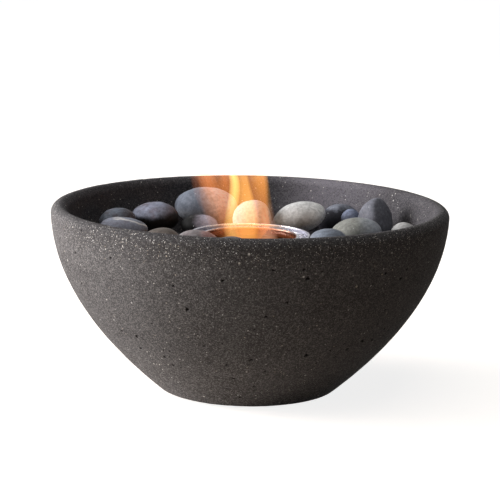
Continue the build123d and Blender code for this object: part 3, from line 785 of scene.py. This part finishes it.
def pit_share(pit, centre, offset, normals):
    """How deep a pit is at each place round its centre, as a share of its depth."""
    outward = np.array((centre.x, centre.y, 0.0))
    outward /= np.linalg.norm(outward)
    side = np.array((-outward[1], outward[0], 0.0))
    normal = normals.mean(axis=0)
    normal /= np.linalg.norm(normal)
    across, up = offset @ side, offset @ np.cross(normal, side)
    cos, sin = math.cos(math.radians(pit.turn)), math.sin(math.radians(pit.turn))
    u, v = (across * cos + up * sin) / pit.length, (up * cos - across * sin) / pit.width
    angle = np.arctan2(v, u)
    ragged = 1 + sum(size * np.sin(waves * angle + turns * pit.turn) for size, waves, turns in PIT_RAGGED)
    return np.clip(1 - (np.hypot(u, v) / ragged) ** PIT_STEEP, 0, 1)


def cut_sockets(points):
    """Raises the places of the underside that lie in a pad's socket."""
    low = points[:, 2] < (BASE_Z + UNDERSIDE_BAND) * MM
    for number in range(PAD_COUNT):
        angle = math.radians(PAD_FIRST_BEARING + 360 * number / PAD_COUNT)
        x, y = PAD_CIRCLE * math.cos(angle), PAD_CIRCLE * math.sin(angle)
        gap = np.hypot(points[:, 0] / MM - x, points[:, 1] / MM - y)
        points[low & (gap < PAD_HOLE), 2] = (BASE_Z + PAD_HOLE_DEPTH) * MM


def solid_middles(mesh):
    """The middle of each separate solid in a node's mesh."""
    points = vectors(mesh, "co")
    mesh.calc_loop_triangles()
    corners = np.empty(len(mesh.loop_triangles) * 3, int)
    mesh.loop_triangles.foreach_get("vertices", corners)
    _, same = np.unique(np.round(points / (SAME_PLACE * MM)).astype(int), axis=0, return_inverse=True)
    triangles = same.ravel()[corners].reshape(-1, 3)
    label = np.arange(same.max() + 1)
    while True:
        least = label[triangles].min(axis=1)
        lower = label.copy()
        for corner in range(3):
            np.minimum.at(lower, triangles[:, corner], least)
        lower = lower[lower]
        if np.array_equal(lower, label):
            break
        label = lower
    owner = label[same.ravel()]
    solids = [points[owner == one] for one in np.unique(owner)]
    middles = [(solid.min(axis=0) + solid.max(axis=0)) / 2 for solid in solids]
    return sorted(middles, key=lambda middle: middle.tolist())


def ball(divisions):
    """Directions spread evenly round a point, and the faces between them."""
    grid = bmesh.new()
    bmesh.ops.create_icosphere(grid, subdivisions=divisions, radius=1.0)
    directions = [v.co.copy() for v in grid.verts]
    faces = [tuple(v.index for v in f.verts) for f in grid.faces]
    grid.free()
    return directions, faces


def worn(at, shift):
    """How far the surface is worn in at a place."""
    waves = sum(depth * noise.noise(at / length + shift) for depth, length in WEAR_WAVES)
    return max(WEAR_LEAST, WEAR_DEPTH + waves)


def swollen(hits, left, right, up):
    """Places on a pebble, moved out in step with how near they are to its ends and its top."""
    x_low, x_high = min(hit.x for hit in hits), max(hit.x for hit in hits)
    z_low, z_high = min(hit.z for hit in hits), max(hit.z for hit in hits)
    moved = []
    for hit in hits:
        share, rise = (hit.x - x_low) / (x_high - x_low), (hit.z - z_low) / (z_high - z_low)
        moved.append(hit + Vector((right * share - left * (1 - share), 0.0, up * rise)) * MM)
    return moved


def flattened(hits, middle, bearing, rise, depth):
    """Places on a pebble, drawn in where they pass a flat that faces one way."""
    bearing, rise = math.radians(bearing), math.radians(rise)
    level = math.cos(rise)
    facing = Vector((level * math.cos(bearing), level * math.sin(bearing), math.sin(rise)))
    limit = max((hit - middle).dot(facing) for hit in hits) - depth * MM
    moved = []
    for hit in hits:
        reach = max((hit - middle).dot(facing) / limit, 0.0)
        moved.append(middle + (hit - middle) / (1 + reach**FLAT_EDGE) ** (1 / FLAT_EDGE))
    return moved


def pebble_points(name, middle, directions, seed):
    """A pebble's solid seen from its middle along each direction, with its surface worn in a little."""
    middle = Vector(middle)
    shift = Vector([seed * step for step in WEAR_STEPS])
    hits = [frame["nodes"][name].ray_cast(middle, toward)[1] for toward in directions]
    hits = swollen(hits, *PEBBLE_SWELLS.get(name, NO_SWELL))
    for flat in PEBBLE_FLATS.get(name, ()):
        hits = flattened(hits, middle, *flat)
    return [hit - toward * worn(hit / MM, shift) * MM for hit, toward in zip(hits, directions)]


def pebbles(name, seed):
    """A finer, slightly worn copy of each pebble in a node."""
    alone = not name.startswith("pebbles_")
    directions, faces = ball(PEBBLE_DIVISIONS if alone else BED_DIVISIONS)
    points, all_faces, owners = [], [], []
    middles = solid_middles(frame["nodes"][name].data)
    for number, middle in enumerate(middles):
        start = len(points)
        points.extend(pebble_points(name, middle, directions, seed + number))
        all_faces.extend(tuple(start + k for k in face) for face in faces)
        owners.extend([number] * len(directions))
    mesh = mesh_from(name + "_stone", points, all_faces)
    if not alone:
        rng = random.Random(seed)
        tones = [rng.choice(list(SLOT_TONES.values()))[0] for _ in middles]
        keep_values(mesh, "stone", [(*tones[owner], 1.0) for owner in owners])
    return new_object(name + "_stone", mesh)


def tube_of(points, radii, depths):
    """A closed skin round a line of points with an elliptical section in the plan."""
    turn = np.linspace(0, 2 * math.pi, FLAME_SIDES, endpoint=False)
    rings = []
    for (x, y, z), wide, deep in zip(points, radii, depths):
        height = np.full(FLAME_SIDES, z)
        rings.append(np.stack([x + wide * np.cos(turn), y + deep * np.sin(turn), height], 1))
    return np.vstack(rings), skin_faces(len(rings), FLAME_SIDES, False)


def line_through(places, t):
    """A smooth line through a tongue's places."""
    places = np.array(places, float)
    knots = np.linspace(0, 1, len(places))
    fits = [np.polyfit(knots, places[:, k], len(places) - 1) for k in range(3)]
    return np.stack([np.polyval(fit, t) for fit in fits], 1)


def flame():
    """Nested skins round each tongue, which add up to a soft light."""
    points, faces, colours = [], [], []
    t = np.linspace(0, 1, FLAME_STEPS)
    stages = np.linspace(0, 1, len(FLAME_LEAN))
    fade = np.clip(t / FLAME_FOOT_SHARE, 0, 1) * np.clip((1 - t) / FLAME_TOP_SHARE, 0, 1)
    for number, tongue in enumerate([*TONGUES, MOUTH_LIGHT]):
        centre = line_through([(x, *lean) for x, lean in zip(tongue.across, tongue.lean)], t)
        waver = 1 + WAVER_SHARE * np.sin(WAVER_TURNS * t + WAVER_STEP * number)
        wide = np.interp(t, stages, tongue.widths) * waver
        deep = np.interp(t, stages, tongue.depths)
        # A line of sight crosses each skin twice
        level = fade * np.interp(t, stages, tongue.light) / (2 * SKINS)
        glow = [(*(np.array(tongue.colour) * part), 1.0) for part in np.repeat(level, FLAME_SIDES)]
        for shell in 1 - tongue.soft * (np.arange(SKINS) / SKINS) ** SKIN_CROWDING:
            moved = centre.copy()
            moved[:, 0] += tongue.gather * (1 - shell) * wide
            skin, between = tube_of(moved, wide * shell, deep * shell)
            start = len(points)
            points.extend(skin * MM)
            faces.extend(tuple(start + k for k in face) for face in between)
            colours.extend(glow)
    mesh = mesh_from("flame", points, faces)
    keep_values(mesh, "glow", colours)
    return new_object("flame", mesh)


def bent(line):
    """A line of straight runs with its corners rounded: points of across, up and the corner's radius."""
    points = []
    for before, (x, z, radius), after in zip([None, *line[:-1]], line, [*line[1:], None]):
        here = np.array((x, z))
        if before is None or after is None:
            points.append(here)
            continue
        come = (np.array(before[:2]) - here) / math.dist(before[:2], here)
        leave = (np.array(after[:2]) - here) / math.dist(after[:2], here)
        for turn in np.linspace(0, math.pi / 2, BEND_POINTS):
            points.append(here + radius * (come * (1 - math.sin(turn)) + leave * (1 - math.cos(turn))))
    return np.array(points)


def top_ring():
    """The can's ring, its plate bent along the line and turned round the can's axis."""
    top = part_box("can_top_ring")[1].z / MM
    middle = bent([(radius, top - depth, bend) for radius, depth, bend in RING_LINE])
    along = np.gradient(middle, axis=0)
    along /= np.linalg.norm(along, axis=1)[:, None]
    side = np.stack([-along[:, 1], along[:, 0]], 1) * RING_PLATE / 2
    outline = np.vstack([middle + side, (middle - side)[::-1]])
    return new_object("friction_ring", turned("friction_ring", outline, RING_COLUMNS, True))


def gel_surface():
    """The gel with a wavy top that climbs a little at the can's wall."""
    low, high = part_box("fuel_gel")
    radius = (high.x - low.x) / 2
    floor = [(GEL_ROWS[0][0] * radius, low.z), (radius, low.z)]
    top = [(share * radius, high.z + (rise - GEL_DROP) * MM) for share, rise in GEL_ROWS[::-1]]
    mesh = turned("gel_pool", np.array(floor + top) / MM, GEL_COLUMNS, False)
    for vert in mesh.vertices:
        if vert.co.z > low.z:
            calm = 1 - (vert.co.to_2d().length / radius) ** GEL_WAVE_EDGE
            wave = noise.noise(Vector((vert.co.x, vert.co.y, 0.0)) * GEL_WAVE_REPEATS)
            vert.co.z += GEL_WAVE * MM * wave * calm
    return new_object("gel_pool", mesh)


def set_material(thing, material):
    thing.data.materials.clear()
    thing.data.materials.append(material)


def dress():
    """Puts the pieces in place of the plain solids and gives every node its material."""
    slots = {row["node"]: row["material_slot"] for row in frame["record"]["subparts"]}
    shell = new_object("bowl_casting", pitted_bowl())
    set_material(shell, concrete_material())
    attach(shell, "bowl")
    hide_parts("bowl_shell")
    rubber, tin = rubber_material(), tin_material()
    for name, node in frame["nodes"].items():
        if name.startswith("foot_pad"):
            set_material(node, rubber)
        elif name.startswith("can_"):
            set_material(node, tin)
    mixed = stone_material("mixed_pebbles")
    stones = sorted(n for n in frame["nodes"] if n.startswith("pebble"))
    for seed, name in enumerate(stones):
        stone = pebbles(name, seed)
        if name.startswith("pebbles_"):
            material = mixed
        else:
            material = stone_material(name, PEBBLE_TONES.get(name) or SLOT_TONES[slots[name]])
        set_material(stone, material)
        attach(stone, "bowl")
        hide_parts(name)
    ring = top_ring()
    set_material(ring, tin)
    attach(ring, "fuel_can")
    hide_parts("can_top_ring")
    gel = gel_surface()
    set_material(gel, gel_material())
    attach(gel, "fuel_can")
    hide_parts("fuel_gel")
    fire = flame()
    set_material(fire, flame_material())
    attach(fire, "fuel_can")
    fire.visible_diffuse = False
    fire.visible_shadow = False


def lay_floor():
    reach = FLOOR_REACH
    corners = [(-reach, -reach, 0), (reach, -reach, 0), (reach, reach, 0), (-reach, reach, 0)]
    floor = new_object("floor", mesh_from("floor", corners, [(0, 1, 2, 3)], False))
    set_material(floor, floor_material())


def surroundings():
    """Dim to the light that they cast, and white to the camera and to reflections."""
    s = Shader(bpy.data.worlds.new("studio"))
    dim = s.node("Background", {"Color": DIM_TONE, "Strength": DIM_LIGHT})
    white = s.node("Background", {"Color": WHITE, "Strength": 1.0})
    both = s.node("MixShader", {0: s.seen(), 1: dim.outputs[0], 2: white.outputs[0]})
    s.node("OutputWorld", {"Surface": both.outputs[0]})
    bpy.context.scene.world = s.owner


def area_light(name, lamp):
    data = bpy.data.lights.new(name, "AREA")
    data.shape = "RECTANGLE"
    data.size, data.size_y = lamp.size
    data.energy = lamp.power
    data.color = lamp.colour
    light = new_object(name, data)
    light.location = lamp.place
    toward = Vector(lamp.target) - light.location
    light.rotation_mode = "QUATERNION"
    light.rotation_quaternion = toward.to_track_quat("-Z", "Y")
    return light


def lights():
    """A key from the left, a low card beside it, soft light from above, and the flame's own glow."""
    area_light("key_left", KEY_LEFT)
    card = area_light("card_left", CARD_LEFT)
    card.visible_camera = False
    area_light("top_soft", TOP_SOFT)
    glow = bpy.data.lights.new("flame_glow", "POINT")
    glow.energy = GLOW_POWER
    glow.color = GLOW_COLOUR
    glow.shadow_soft_size = GLOW_SIZE
    new_object("flame_glow", glow).location = GLOW_PLACE


def camera():
    """The camera at the photograph's angle, with its slight roll."""
    lens = bpy.data.cameras.new("camera")
    lens.lens, lens.sensor_width = CAMERA_LENS, CAMERA_SENSOR
    lens.shift_x, lens.shift_y = CAMERA_SHIFT
    lens.clip_start, lens.clip_end = CAMERA_CLIP
    viewer = new_object("camera", lens)
    down, roll = math.radians(CAMERA_DOWN), math.radians(CAMERA_ROLL)
    forward = Vector((0, math.cos(down), -math.sin(down)))
    right = Vector((1, 0, 0))
    up = right.cross(forward)
    across = math.cos(roll) * right + math.sin(roll) * up
    over = math.cos(roll) * up - math.sin(roll) * right
    turn = Matrix((across, over, -forward)).transposed()
    viewer.matrix_world = Matrix.Translation(CAMERA_PLACE) @ turn.to_4x4()
    bpy.context.scene.camera = viewer
    bpy.context.scene.view_settings.view_transform = "Standard"
    bpy.context.scene.cycles.transparent_max_bounces = TRANSPARENT_BOUNCES


dress()
lay_floor()
surroundings()
lights()
camera()
